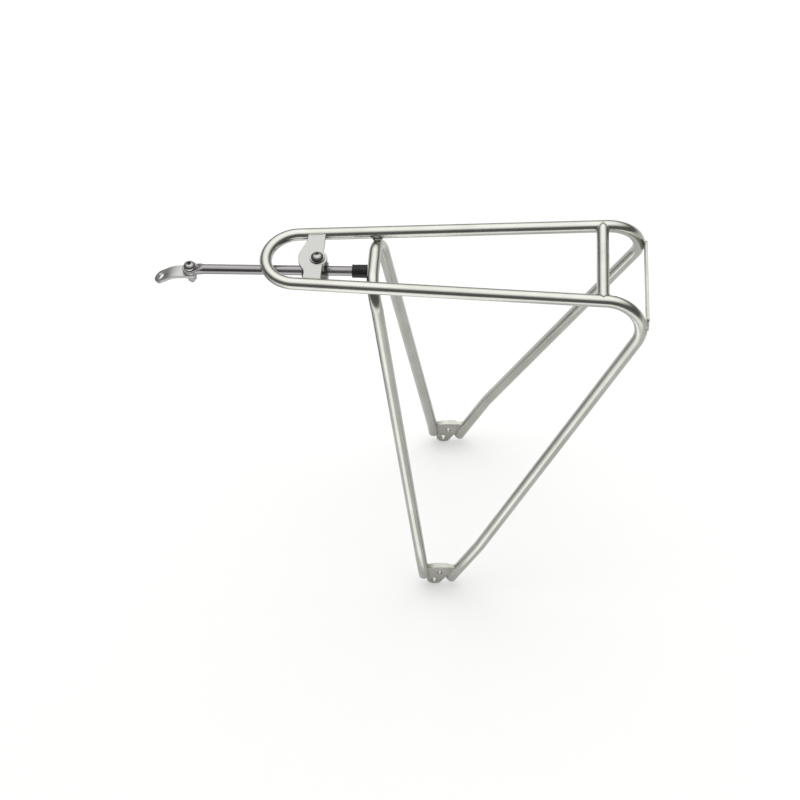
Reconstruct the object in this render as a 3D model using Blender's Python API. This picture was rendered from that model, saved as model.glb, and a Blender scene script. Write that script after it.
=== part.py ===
"""Slim touring rear rack for a bicycle, with one adjustable front stay.

Metres, +Z up. The front of the bicycle is -X and its left side is -Y.
The origin lies midway between the two lower eyelets, on the line through their holes.
Pieces that are welded together on the real rack keep a gap of about 0.3 mm here.
"""

import math

import bmesh
import bpy
from mathutils import Vector

MM = 0.001
GAP = 0.3 * MM

# Tubing
TUBE_RADIUS = 5.0 * MM
TUBE_WALL = 1.0 * MM
ROD_RADIUS = 4.0 * MM

# Deck: two rails that spread towards the rear, joined by a round hoop at the front
DECK_Z = 350.6 * MM
HOOP_X = -99.2 * MM
HOOP_RADIUS = 26.2 * MM
CROSS_TUBE_X = 142.8 * MM
RAIL_HALF_WIDTH = 39.3 * MM  # at the cross tube
REAR_CORNER_X = 190.1 * MM  # where the rail's line meets the rear leg's line
REAR_BEND_RADIUS = 28.0 * MM

# Feet: both legs of a side end in one upright plane
FOOT_Y = 81.5 * MM
REAR_KINK = Vector((42.9, 81.5, 58.1)) * MM
REAR_LEG_END = Vector((15.3, 81.5, 2.5)) * MM
FRONT_KINK = Vector((-9.9, 81.5, 16.6)) * MM
FRONT_LEG_END = Vector((-9.2, 81.5, 5.8)) * MM
KINK_RADIUS = 60.0 * MM

# Front leg arch, which crosses under the deck and touches the rails from inside
ARCH_CROWN_Z = 345.6 * MM
ARCH_CORNER_Y = 29.6 * MM
ARCH_BEND_RADIUS = 22.0 * MM
ARCH_PLANE_X = -36.6 * MM  # the legs' lean, carried up to the crown
ARCH_BOW = 2.4 * MM  # how far the crown bulges forward of that
ARCH_BOW_HEIGHT = 25.5 * MM

# Foot plates
FOOT_THICKNESS = 3.6 * MM
RIM_THICKNESS = 5.0 * MM
RIM_HEIGHT = 2.0 * MM
FOOT_ARC_CENTRE = (7.8 * MM, -12.0 * MM)
FOOT_ARC_RADIUS = 35.0 * MM
FOOT_ARC_ENDS = (66.0, 118.7)  # degrees, inside the rear and the front leg
RIM_REAR_END = 80.6  # degrees: the rim stops short of the rear leg
EYELET_OUTER_RADIUS = 6.7 * MM
EYELET_HOLE_RADIUS = 3.2 * MM
UPPER_HOLE = (5.4 * MM, 12.4 * MM)
UPPER_HOLE_RADIUS = 2.5 * MM

# Light plate behind the rear bends
LIGHT_PLATE_FRONT_X = 177.6 * MM
LIGHT_PLATE_THICKNESS = 2.0 * MM
LIGHT_PLATE_HALF_WIDTH = 43.0 * MM
LIGHT_PLATE_HEIGHT = 16.0 * MM
LIGHT_PLATE_Z = 324.6 * MM
LIGHT_HOLE_SPACING = 50.0 * MM
LIGHT_HOLE_RADIUS = 2.75 * MM

# Stay clamp: a bridge plate between the rails and a barrel under it, which holds the rod
ROD_Z = 336.6 * MM
CLAMP_PLATE_TOP = DECK_Z + 3.5 * MM
CLAMP_PLATE_THICKNESS = 3.0 * MM
CLAMP_FRONT_X = -93.2 * MM
CLAMP_REAR_X = -79.2 * MM
CLAMP_NOSE = (-81.0 * MM, -0.8 * MM)
CLAMP_NOSE_RADIUS = 18.0 * MM
CLAMP_NOSE_ARC = (153.0, 213.0)  # degrees
CLAMP_SHOULDERS = (17.0 * MM, -15.0 * MM)
CLAMP_BOLT_X = -83.6 * MM
CLAMP_BOLT_Y = -2.0 * MM
CLAMP_LOBE_RADIUS = 8.0 * MM
BARREL_FRONT_X = -97.2 * MM
BARREL_REAR_X = -76.7 * MM
BARREL_RADIUS = 7.0 * MM
BARREL_NECK_WIDTH = 10.0 * MM
BARREL_NECK_SETBACK = 4.0 * MM
CLAMP_THREAD_RADIUS = 3.0 * MM
CLAMP_HEAD_RADIUS = 5.0 * MM
CLAMP_HEAD_HEIGHT = 3.3 * MM
CLAMP_WASHER_RADIUS = 6.0 * MM
WASHER_THICKNESS = 0.8 * MM

# Stay: rod with a flattened eye in front and a rubber cap behind
EYE_X = -188.9 * MM
EYE_RADIUS = 6.25 * MM
EYE_THICKNESS = 4.2 * MM
EYE_NECK_SHARE = 0.72  # of the eye's radius, where the stem meets it
EYE_Z = 336.6 * MM
ROD_ROUND_END_X = -177.6 * MM
ROD_REAR_X = -46.7 * MM
CAP_FRONT_X = -57.0 * MM
CAP_REAR_X = -44.1 * MM
CAP_RADIUS = 5.4 * MM

# Strap under the eye, bent down towards its tip
PIVOT_THREAD_RADIUS = 2.0 * MM
PIVOT_HEAD_RADIUS = 4.9 * MM
PIVOT_WASHER_RADIUS = 4.2 * MM
PIVOT_HEAD_HEIGHT = 4.6 * MM
NUT_ACROSS_FLATS = 7.0 * MM
NUT_HEIGHT = 5.0 * MM
PIVOT_TIP_LENGTH = 3.0 * MM  # the thread that stands out of the nut
STRAP_WIDTH = 11.8 * MM
STRAP_THICKNESS = 2.8 * MM
STRAP_FLAT_LENGTH = 8.0 * MM
STRAP_BEND_RADIUS = 22.0 * MM
STRAP_BEND_ANGLE = math.radians(29.0)
STRAP_TIP_LENGTH = 7.4 * MM
STRAP_HOLE_RADIUS = 3.4 * MM

TUBE_BEVEL_RESOLUTION = 4  # 12 sides
ROUND_SIDES = 24


# ---------------------------------------------------------------- scene and materials


def clear_scene():
    for obj in list(bpy.data.objects):
        bpy.data.objects.remove(obj, do_unlink=True)


def material(name, colour, roughness, metallic):
    made = bpy.data.materials.new(name)
    made.use_nodes = True
    shader = made.node_tree.nodes["Principled BSDF"]
    shader.inputs["Base Color"].default_value = (*colour, 1.0)
    shader.inputs["Roughness"].default_value = roughness
    shader.inputs["Metallic"].default_value = metallic
    return made


def add_object(name, mesh, look=None):
    obj = bpy.data.objects.new(name, mesh)
    bpy.context.scene.collection.objects.link(obj)
    if look is not None:
        mesh.materials.clear()
        mesh.materials.append(look)
    return obj


def finish_round(mesh):
    mesh.shade_smooth()
    mesh.set_sharp_from_angle(angle=math.radians(35))


# ---------------------------------------------------------------- shape helpers


def mesh_from(bm, name):
    bmesh.ops.recalc_face_normals(bm, faces=bm.faces)
    mesh = bpy.data.meshes.new(name)
    bm.to_mesh(mesh)
    bm.free()
    return mesh


def mirrored(point):
    return Vector((point.x, -point.y, point.z))


def fillet(before, corner, after, radius, steps):
    """Points of the arc that rounds a corner, from tangent point to tangent point."""
    back = (before - corner).normalized()
    ahead = (after - corner).normalized()
    half_angle = back.angle(ahead) / 2
    reach = radius / math.tan(half_angle)
    centre = corner + (back + ahead).normalized() * (radius / math.sin(half_angle))
    start = corner + back * reach
    turn = math.pi - 2 * half_angle
    spoke = (start - centre).normalized()
    heading = -back
    angles = (turn * i / steps for i in range(steps + 1))
    return [centre + (spoke * math.cos(a) + heading * math.sin(a)) * radius for a in angles]


def sweep_mesh(name, points, radius, caps, resolution=TUBE_BEVEL_RESOLUTION):
    """The mesh of a round section carried along a path."""
    curve = bpy.data.curves.new(name + "_path", "CURVE")
    curve.dimensions = "3D"
    curve.bevel_depth = radius
    curve.bevel_resolution = resolution
    curve.use_fill_caps = caps
    spline = curve.splines.new("POLY")
    spline.points.add(len(points) - 1)
    for knot, place in zip(spline.points, points):
        knot.co = (*place, 1.0)
    guide = bpy.data.objects.new(name + "_path", curve)
    bpy.context.scene.collection.objects.link(guide)
    graph = bpy.context.evaluated_depsgraph_get()
    swept = bpy.data.meshes.new_from_object(guide.evaluated_get(graph))
    bpy.data.objects.remove(guide, do_unlink=True)
    bpy.data.curves.remove(curve)
    bm = bmesh.new()
    bm.from_mesh(swept)
    bpy.data.meshes.remove(swept)
    bmesh.ops.remove_doubles(bm, verts=bm.verts, dist=0.001 * MM)
    return mesh_from(bm, name)


def hollow_tube(name, points, look):
    """A tube with open ends, its wall set inwards from the swept skin."""
    obj = add_object(name, sweep_mesh(name, points, TUBE_RADIUS, caps=False), look)
    finish_round(obj.data)
    wall = obj.modifiers.new("wall", "SOLIDIFY")
    wall.thickness = TUBE_WALL
    wall.offset = -1.0
    wall.use_even_offset = True
    return obj


def as_cutter(obj):
    obj.hide_render = True
    obj.display_type = "WIRE"
    return obj


def cut(obj, cutter, operation="DIFFERENCE"):
    step = obj.modifiers.new(cutter.name, "BOOLEAN")
    step.operation = operation
    step.object = cutter
    step.solver = "EXACT"


def tube_cutter(name, points):
    """A solid round bar, a gap wider than the tube that runs along the same path."""
    mesh = sweep_mesh(name, points, TUBE_RADIUS + 1.2 * GAP, caps=True, resolution=8)
    return as_cutter(add_object(name, mesh))


def extruded_mesh(name, outline, start, depth, lift):
    """A flat outline given depth. lift turns (u, v, along) into a point of the rack."""
    bm = bmesh.new()
    ring = [bm.verts.new(lift(u, v, start)) for u, v in outline]
    face = bm.faces.new(ring)
    pushed = bmesh.ops.extrude_face_region(bm, geom=[face])
    shift = Vector(lift(0, 0, start + depth)) - Vector(lift(0, 0, start))
    moved = [item for item in pushed["geom"] if isinstance(item, bmesh.types.BMVert)]
    bmesh.ops.translate(bm, verts=moved, vec=shift)
    return mesh_from(bm, name)


def plan_view(x, y, z):
    return (x, y, z)


def side_view(x, z, y):
    return (x, y, z)


def rear_view(y, z, x):
    return (x, y, z)


def arc(centre, radius, start, end, steps):
    """Points on a circle in the plane, from one angle to another, in degrees."""
    angles = (math.radians(start + (end - start) * i / steps) for i in range(steps + 1))
    return [(centre[0] + radius * math.cos(a), centre[1] + radius * math.sin(a)) for a in angles]


def disc(centre, radius, sides=ROUND_SIDES):
    return arc(centre, radius, 0, 360 - 360 / sides, sides - 1)


def cylinder_cutter(name, centre, radius, start, depth, lift, sides=ROUND_SIDES):
    mesh = extruded_mesh(name, disc(centre, radius, sides), start, depth, lift)
    return as_cutter(add_object(name, mesh))


def turned_mesh(name, profile, place, axis, sides=ROUND_SIDES):
    """A closed (distance along the axis, radius) profile spun about the axis through a place."""
    along = Vector(axis).normalized()
    out = along.orthogonal().normalized()
    bm = bmesh.new()
    ring = [bm.verts.new(place + along * a + out * r) for a, r in profile]
    edges = [bm.edges.new((ring[i], ring[(i + 1) % len(ring)])) for i in range(len(ring))]
    bmesh.ops.spin(
        bm, geom=ring + edges, cent=place, axis=along, angle=math.tau, steps=sides, use_merge=True
    )
    bmesh.ops.remove_doubles(bm, verts=bm.verts, dist=0.001 * MM)
    on_axis = [edge for edge in bm.edges if not edge.link_faces]
    bmesh.ops.delete(bm, geom=on_axis, context="EDGES")
    return mesh_from(bm, name)


def lofted_mesh(name, sections):
    """Faces between rings of equal length, with both ends closed."""
    bm = bmesh.new()
    rings = [[bm.verts.new(point) for point in section] for section in sections]
    count = len(rings[0])
    for first, second in zip(rings, rings[1:]):
        for i in range(count):
            j = (i + 1) % count
            bm.faces.new((first[i], first[j], second[j], second[i]))
    bm.faces.new(rings[0])
    bm.faces.new(rings[-1])
    return mesh_from(bm, name)


# ---------------------------------------------------------------- centrelines


def rail_taper():
    """The angle of each rail to the X axis, set by the hoop and the width at the cross tube."""
    length = CROSS_TUBE_X - HOOP_X
    distance = math.hypot(length, RAIL_HALF_WIDTH)
    return math.atan2(RAIL_HALF_WIDTH, length) - math.asin(HOOP_RADIUS / distance)


def rail_point(x, side=1):
    half_width = RAIL_HALF_WIDTH + math.tan(rail_taper()) * (x - CROSS_TUBE_X)
    return Vector((x, side * half_width, DECK_Z))


def main_tube_half():
    """The centreline on the +Y side, from the hoop's front to the end of the rear leg."""
    taper = math.degrees(rail_taper())
    hoop = arc((HOOP_X, 0.0), HOOP_RADIUS, 180, 90 + taper, 10)
    points = [Vector((x, y, DECK_Z)) for x, y in hoop]
    corner = rail_point(REAR_CORNER_X)
    points += fillet(points[-1], corner, REAR_KINK, REAR_BEND_RADIUS, 10)
    points += fillet(corner, REAR_KINK, REAR_LEG_END, KINK_RADIUS, 3)
    points.append(REAR_LEG_END)
    return points


def arch_x(z):
    """The legs of the arch lean rearwards going down, and the crown bows forward."""
    top = Vector((ARCH_PLANE_X, ARCH_CORNER_Y, ARCH_CROWN_Z))
    slope = (FRONT_KINK.x - top.x) / (top.z - FRONT_KINK.z)
    above = max(0.0, z - (ARCH_CROWN_Z - ARCH_BOW_HEIGHT)) / ARCH_BOW_HEIGHT
    return top.x + slope * (top.z - z) - ARCH_BOW * above * above


def arch_half():
    """The centreline on the +Y side, from the middle of the crown to the end of the front leg."""
    middle = Vector((0.0, 0.0, ARCH_CROWN_Z))
    corner = Vector((0.0, ARCH_CORNER_Y, ARCH_CROWN_Z))
    foot = Vector((0.0, FRONT_KINK.y, FRONT_KINK.z))
    points = [middle] + fillet(middle, corner, foot, ARCH_BEND_RADIUS, 9)
    points = [Vector((arch_x(p.z), p.y, p.z)) for p in points]
    points += fillet(points[-1], FRONT_KINK, FRONT_LEG_END, KINK_RADIUS / 2, 2)
    points.append(FRONT_LEG_END)
    return points


def both_sides(half):
    return [mirrored(p) for p in reversed(half)] + half[1:]


# ---------------------------------------------------------------- welded frame


def make_tubes(steel):
    hollow_tube("main_tube", both_sides(main_tube_half()), steel)
    hollow_tube("front_leg_arch", both_sides(arch_half()), steel)
    right = rail_point(CROSS_TUBE_X)
    cross = hollow_tube("cross_tube", [mirrored(right), right], steel)
    for cutter in rail_cutters():
        cut(cross, cutter)


def rail_cutters():
    cutters = []
    for side, word in ((-1, "left"), (1, "right")):
        name = word + "_rail_clearance"
        if name in bpy.data.objects:
            cutters.append(bpy.data.objects[name])
            continue
        cutters.append(tube_cutter(name, [rail_point(HOOP_X, side), rail_point(CROSS_TUBE_X + 0.02, side)]))
    return cutters


def foot_outline():
    """The plate seen from the side, out to the legs' centrelines, where the legs then cut it."""
    boss = arc((0.0, 0.0), EYELET_OUTER_RADIUS, -180, -38, 10)
    leg_corner = (REAR_LEG_END.x - 4.4 * MM, REAR_LEG_END.z + 2.4 * MM)
    under_leg = (REAR_LEG_END.x + 1.0 * MM, REAR_LEG_END.z + 2.4 * MM)
    top = arc(FOOT_ARC_CENTRE, FOOT_ARC_RADIUS, *FOOT_ARC_ENDS, 8)
    in_front_leg = (FRONT_LEG_END.x, FRONT_LEG_END.z + 3.0 * MM)
    over_boss = (-EYELET_OUTER_RADIUS, FRONT_LEG_END.z)
    return boss + [leg_corner, under_leg] + top + [in_front_leg, over_boss]


def rim_outline():
    front_end = FOOT_ARC_ENDS[1]
    outer = arc(FOOT_ARC_CENTRE, FOOT_ARC_RADIUS, RIM_REAR_END, front_end, 8)
    inner = arc(FOOT_ARC_CENTRE, FOOT_ARC_RADIUS - RIM_HEIGHT, front_end, RIM_REAR_END, 8)
    return outer + inner


def make_foot_plate(word, side, steel):
    middle = side * FOOT_Y
    name = word + "_foot_plate"
    plate_mesh = extruded_mesh(name, foot_outline(), middle - FOOT_THICKNESS / 2, FOOT_THICKNESS, side_view)
    plate = add_object(name, plate_mesh, steel)
    rim_mesh = extruded_mesh(
        word + "_foot_rim", rim_outline(), middle - RIM_THICKNESS / 2, RIM_THICKNESS, side_view
    )
    cut(plate, as_cutter(add_object(word + "_foot_rim", rim_mesh)), "UNION")
    holes = (("eyelet", (0.0, 0.0), EYELET_HOLE_RADIUS), ("upper", UPPER_HOLE, UPPER_HOLE_RADIUS))
    for label, centre, radius in holes:
        drill = cylinder_cutter(
            f"{word}_{label}_drill", centre, radius, middle - RIM_THICKNESS, 2 * RIM_THICKNESS, side_view
        )
        cut(plate, drill)
    for label, path in (("front", arch_half()), ("rear", main_tube_half())):
        low_end = path[-5:]
        tail = low_end[-1] + (low_end[-1] - low_end[-2]).normalized() * GAP
        run = [p if side > 0 else mirrored(p) for p in low_end + [tail]]
        cut(plate, tube_cutter(f"{word}_{label}_leg_clearance", run))
    return plate


def make_light_plate(steel):
    half = LIGHT_PLATE_HALF_WIDTH
    radius = 4.0 * MM
    low = LIGHT_PLATE_Z - LIGHT_PLATE_HEIGHT / 2
    high = LIGHT_PLATE_Z + LIGHT_PLATE_HEIGHT / 2
    outline = []
    corners = (
        (half - radius, low + radius, -90),
        (half - radius, high - radius, 0),
        (radius - half, high - radius, 90),
        (radius - half, low + radius, 180),
    )
    for y, z, start in corners:
        outline += arc((y, z), radius, start, start + 90, 4)
    mesh = extruded_mesh("light_plate", outline, LIGHT_PLATE_FRONT_X, LIGHT_PLATE_THICKNESS, rear_view)
    plate = add_object("light_plate", mesh, steel)
    for side, word in ((-1, "left"), (1, "right")):
        centre = (side * LIGHT_HOLE_SPACING / 2, LIGHT_PLATE_Z)
        start = LIGHT_PLATE_FRONT_X - LIGHT_PLATE_THICKNESS
        depth = 3 * LIGHT_PLATE_THICKNESS
        cut(plate, cylinder_cutter(word + "_light_drill", centre, LIGHT_HOLE_RADIUS, start, depth, rear_view))


# ---------------------------------------------------------------- stay clamp


def clamp_outline():
    """The bridge seen from above: a shallow bulge in front, and a round lobe behind for the bolt."""
    end = RAIL_HALF_WIDTH  # past the rails, which then cut the ends
    nose = arc(CLAMP_NOSE, CLAMP_NOSE_RADIUS, *CLAMP_NOSE_ARC, 10)
    reach = math.degrees(math.acos((CLAMP_REAR_X - CLAMP_BOLT_X) / CLAMP_LOBE_RADIUS))
    lobe = arc((CLAMP_BOLT_X, CLAMP_BOLT_Y), CLAMP_LOBE_RADIUS, -reach, reach, 8)
    near_end = [(CLAMP_FRONT_X, CLAMP_SHOULDERS[1]), (CLAMP_FRONT_X, -end), (CLAMP_REAR_X, -end)]
    far_end = [(CLAMP_REAR_X, end), (CLAMP_FRONT_X, end), (CLAMP_FRONT_X, CLAMP_SHOULDERS[0])]
    return nose + near_end + lobe + far_end


def make_clamp_plate(steel):
    start = CLAMP_PLATE_TOP - CLAMP_PLATE_THICKNESS
    mesh = extruded_mesh("clamp_plate", clamp_outline(), start, CLAMP_PLATE_THICKNESS, plan_view)
    plate = add_object("clamp_plate", mesh, steel)
    outer_side = as_cutter(add_object("clamp_trim", clamp_trim_mesh()))
    cut(plate, outer_side, "INTERSECT")
    for cutter in rail_cutters():
        cut(plate, cutter)
    hole = (CLAMP_BOLT_X, CLAMP_BOLT_Y)
    radius = CLAMP_THREAD_RADIUS + GAP
    cut(plate, cylinder_cutter("clamp_plate_drill", hole, radius, start - MM, 6 * MM, plan_view))


def clamp_trim_mesh():
    """A block between the rails' centrelines, which takes off the bridge's ends beyond them."""
    front, rear = HOOP_X - 10 * MM, CLAMP_REAR_X + 10 * MM
    ends = [rail_point(front, -1), rail_point(rear, -1), rail_point(rear), rail_point(front)]
    outline = [(p.x, p.y) for p in ends]
    return extruded_mesh("clamp_trim", outline, DECK_Z - 0.02, 0.04, plan_view)


def make_clamp_barrel(steel):
    """A sleeve for the rod, with a neck that stands under the bridge and takes the bolt."""
    length = BARREL_REAR_X - BARREL_FRONT_X
    mesh = extruded_mesh(
        "clamp_barrel", disc((0.0, ROD_Z), BARREL_RADIUS), BARREL_FRONT_X, length, rear_view
    )
    barrel = add_object("clamp_barrel", mesh, steel)
    finish_round(barrel.data)
    top = CLAMP_PLATE_TOP - CLAMP_PLATE_THICKNESS - GAP
    half = BARREL_NECK_WIDTH / 2
    neck_outline = [(-half, ROD_Z), (half, ROD_Z), (half, top), (-half, top)]
    neck_front = BARREL_FRONT_X + BARREL_NECK_SETBACK
    neck_length = length - 1.5 * BARREL_NECK_SETBACK
    neck = extruded_mesh("barrel_neck", neck_outline, neck_front, neck_length, rear_view)
    cut(barrel, as_cutter(add_object("barrel_neck", neck)), "UNION")
    bore = cylinder_cutter(
        "barrel_bore", (0.0, ROD_Z), ROD_RADIUS + GAP, BARREL_FRONT_X - MM, length + 2 * MM, rear_view
    )
    cut(barrel, bore)
    hole = (CLAMP_BOLT_X, CLAMP_BOLT_Y)
    cut(barrel, cylinder_cutter("barrel_thread", hole, CLAMP_THREAD_RADIUS + GAP, ROD_Z, 0.03, plan_view))


def make_bolt(name, place, head_radius, head_height, shank_radius, shank_length, look):
    """A domed socket-head bolt, head up, with the underside of its head at a place."""
    crown = head_height * 0.42
    profile = [
        (-shank_length, 0.0),
        (-shank_length, shank_radius - 0.4 * MM),
        (-shank_length + 0.4 * MM, shank_radius),
        (0.0, shank_radius),
        (0.0, head_radius),
        (head_height - crown, head_radius),
        (head_height - 0.35 * crown, head_radius * 0.82),
        (head_height, head_radius * 0.55),
        (head_height, 0.0),
    ]
    bolt = add_object(name, turned_mesh(name, profile, place, (0, 0, 1)), look)
    finish_round(bolt.data)
    socket = cylinder_cutter(
        name + "_socket", (place.x, place.y), shank_radius * 0.8, place.z + head_height * 0.45, 0.01,
        plan_view, sides=6,
    )
    cut(bolt, socket)
    return bolt


def make_washer(name, place, outer_radius, inner_radius, look):
    profile = [
        (0.0, inner_radius),
        (0.0, outer_radius),
        (WASHER_THICKNESS, outer_radius),
        (WASHER_THICKNESS, inner_radius),
    ]
    washer = add_object(name, turned_mesh(name, profile, place, (0, 0, 1)), look)
    finish_round(washer.data)


def make_clamp_bolt(steel):
    seat = Vector((CLAMP_BOLT_X, CLAMP_BOLT_Y, CLAMP_PLATE_TOP + GAP))
    make_washer("clamp_washer", seat, CLAMP_WASHER_RADIUS, CLAMP_THREAD_RADIUS + GAP, steel)
    head_seat = seat + Vector((0, 0, WASHER_THICKNESS + GAP))
    shank = head_seat.z - (ROD_Z + ROD_RADIUS + GAP)
    make_bolt(
        "clamp_bolt", head_seat, CLAMP_HEAD_RADIUS, CLAMP_HEAD_HEIGHT, CLAMP_THREAD_RADIUS, shank, steel
    )


# ---------------------------------------------------------------- stay


def rod_section(x, half_width, half_height, z):
    """A squashed circle across the rod."""
    ring = disc((0.0, 0.0), 1.0, 16)
    return [Vector((x, half_width * u, z + half_height * v)) for u, v in ring]


def make_stay_rod(steel):
    flat = EYE_THICKNESS / 2
    sections = [
        rod_section(ROD_REAR_X, ROD_RADIUS - 0.6 * MM, ROD_RADIUS - 0.6 * MM, ROD_Z),
        rod_section(ROD_REAR_X - 0.6 * MM, ROD_RADIUS, ROD_RADIUS, ROD_Z),
        rod_section(ROD_ROUND_END_X, ROD_RADIUS, ROD_RADIUS, ROD_Z),
    ]
    for share in (0.3, 0.65, 1.0):
        ease = share * share * (3 - 2 * share)
        width = ROD_RADIUS + (EYE_RADIUS * EYE_NECK_SHARE - ROD_RADIUS) * ease
        height = ROD_RADIUS + (flat - ROD_RADIUS) * ease
        x = ROD_ROUND_END_X + (EYE_X + EYE_RADIUS * 1.3 - ROD_ROUND_END_X) * share
        sections.append(rod_section(x, width, height, ROD_Z + (EYE_Z - ROD_Z) * ease))
    stem = add_object("stay_rod", lofted_mesh("stay_rod", sections), steel)
    finish_round(stem.data)
    eye = as_cutter(add_object("stay_eye", eye_mesh(sections[-1][0].x)))
    cut(stem, eye, "UNION")
    hole = (EYE_X, 0.0)
    radius = PIVOT_THREAD_RADIUS + GAP
    cut(stem, cylinder_cutter("eye_drill", hole, radius, EYE_Z - 4 * MM, 8 * MM, plan_view))


def eye_mesh(root_x):
    """The flat eye: a round end with a short neck that runs back into the rod."""
    neck = EYE_RADIUS * 0.68
    angle = math.degrees(math.asin(neck / EYE_RADIUS))
    outline = arc((EYE_X, 0.0), EYE_RADIUS, angle, 360 - angle, 20)
    outline += [(root_x + 2 * MM, -neck * 0.8), (root_x + 2 * MM, neck * 0.8)]
    return extruded_mesh("stay_eye", outline, EYE_Z - EYE_THICKNESS / 2, EYE_THICKNESS, plan_view)


def make_rod_cap(rubber):
    depth = CAP_REAR_X - CAP_FRONT_X
    bore = ROD_RADIUS + GAP
    floor = ROD_REAR_X + GAP - CAP_FRONT_X
    round_off = 0.8 * MM
    profile = [
        (0.0, bore),
        (0.0, CAP_RADIUS - round_off * 0.5),
        (round_off * 0.5, CAP_RADIUS),
        (depth - round_off, CAP_RADIUS),
        (depth, CAP_RADIUS - round_off),
        (depth, 0.0),
        (floor, 0.0),
        (floor, bore),
    ]
    place = Vector((CAP_FRONT_X, 0.0, ROD_Z))
    cap = add_object("rod_end_cap", turned_mesh("rod_end_cap", profile, place, (1, 0, 0)), rubber)
    finish_round(cap.data)


def strap_line():
    """The strap's middle line from the pivot to the tip: (distance forward, height) and its slope."""
    line = [(0.0, 0.0, 0.0), (STRAP_FLAT_LENGTH, 0.0, 0.0)]
    steps = 6
    for i in range(1, steps + 1):
        a = STRAP_BEND_ANGLE * i / steps
        ahead = STRAP_FLAT_LENGTH + STRAP_BEND_RADIUS * math.sin(a)
        down = STRAP_BEND_RADIUS * (1 - math.cos(a))
        line.append((ahead, -down, a))
    ahead, down, slope = line[-1]
    tip = STRAP_TIP_LENGTH
    line.append((ahead + tip * math.cos(slope), down - tip * math.sin(slope), slope))
    return line


def strap_height():
    return EYE_Z - EYE_THICKNESS / 2 - GAP - STRAP_THICKNESS / 2


def strap_bar_mesh():
    """The strip bent down along its line, square at both ends."""
    half = STRAP_WIDTH / 2
    sections = []
    for ahead, height, slope in strap_line():
        middle = Vector((EYE_X - ahead, 0.0, strap_height() + height))
        normal = Vector((-math.sin(slope), 0.0, math.cos(slope))) * (STRAP_THICKNESS / 2)
        width = Vector((0.0, half, 0.0))
        corners = (middle + normal + width, middle + normal - width, middle - normal - width,
                   middle - normal + width)
        sections.append(list(corners))
    return lofted_mesh("stay_strap", sections)


def make_strap(steel):
    strap = add_object("stay_strap", strap_bar_mesh(), steel)
    half = STRAP_WIDTH / 2
    ahead, height, slope = strap_line()[-1]
    tip = Vector((EYE_X - ahead, 0.0, strap_height() + height))
    normal = Vector((-math.sin(slope), 0.0, math.cos(slope)))
    thick = STRAP_THICKNESS + 4 * MM
    pivot_round = turned_disc("strap_root_round", Vector((EYE_X, 0.0, strap_height())), (0, 0, 1),
                              half, STRAP_THICKNESS)
    cut(strap, pivot_round, "UNION")
    tip_round = turned_disc("strap_tip_round", tip, normal, half, STRAP_THICKNESS)
    cut(strap, tip_round, "UNION")
    root = Vector((EYE_X, 0.0, strap_height()))
    cut(strap, turned_disc("strap_root_drill", root, (0, 0, 1), PIVOT_THREAD_RADIUS + GAP, thick))
    cut(strap, turned_disc("strap_tip_drill", tip, normal, STRAP_HOLE_RADIUS, thick))


def turned_disc(name, middle, axis, radius, thickness):
    profile = [(-thickness / 2, 0.0), (-thickness / 2, radius), (thickness / 2, radius), (thickness / 2, 0.0)]
    return as_cutter(add_object(name, turned_mesh(name, profile, middle, axis)))


def make_pivot(steel):
    seat = Vector((EYE_X, 0.0, EYE_Z + EYE_THICKNESS / 2 + GAP))
    strap_under = strap_height() - STRAP_THICKNESS / 2
    washer_place = Vector((EYE_X, 0.0, strap_under - GAP - WASHER_THICKNESS))
    nut_top = washer_place.z - GAP
    shank = seat.z - (nut_top - NUT_HEIGHT - PIVOT_TIP_LENGTH)
    make_bolt("pivot_bolt", seat, PIVOT_HEAD_RADIUS, PIVOT_HEAD_HEIGHT, PIVOT_THREAD_RADIUS, shank, steel)
    hole = PIVOT_THREAD_RADIUS + GAP
    make_washer("pivot_washer", washer_place, PIVOT_WASHER_RADIUS, hole, steel)
    corner_radius = NUT_ACROSS_FLATS / 2 / math.cos(math.radians(30))
    outline = disc((EYE_X, 0.0), corner_radius, 6)
    mesh = extruded_mesh("pivot_nut", outline, nut_top - NUT_HEIGHT, NUT_HEIGHT, plan_view)
    nut = add_object("pivot_nut", mesh, steel)
    cut(nut, cylinder_cutter("nut_drill", (EYE_X, 0.0), hole, nut_top - 0.01, 0.02, plan_view))


# ---------------------------------------------------------------- the whole rack


def main():
    clear_scene()
    brushed = material("brushed_tube", (0.55, 0.55, 0.51), 0.32, 1.0)
    plate = material("satin_plate", (0.68, 0.68, 0.66), 0.38, 1.0)
    bright = material("bright_steel", (0.58, 0.57, 0.58), 0.22, 1.0)
    rubber = material("black_rubber", (0.02, 0.02, 0.02), 0.55, 0.0)
    make_tubes(brushed)
    make_foot_plate("left", -1, brushed)
    make_foot_plate("right", 1, brushed)
    make_light_plate(brushed)
    make_clamp_plate(plate)
    make_clamp_barrel(bright)
    make_clamp_bolt(bright)
    make_stay_rod(bright)
    make_rod_cap(rubber)
    make_strap(plate)
    make_pivot(bright)


main()
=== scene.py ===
"""The finished look of a slim bicycle rear rack: fine surfaces, welds, metals, floor and light."""

import math

import bmesh
import bpy
from mathutils import Matrix, Vector


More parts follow.
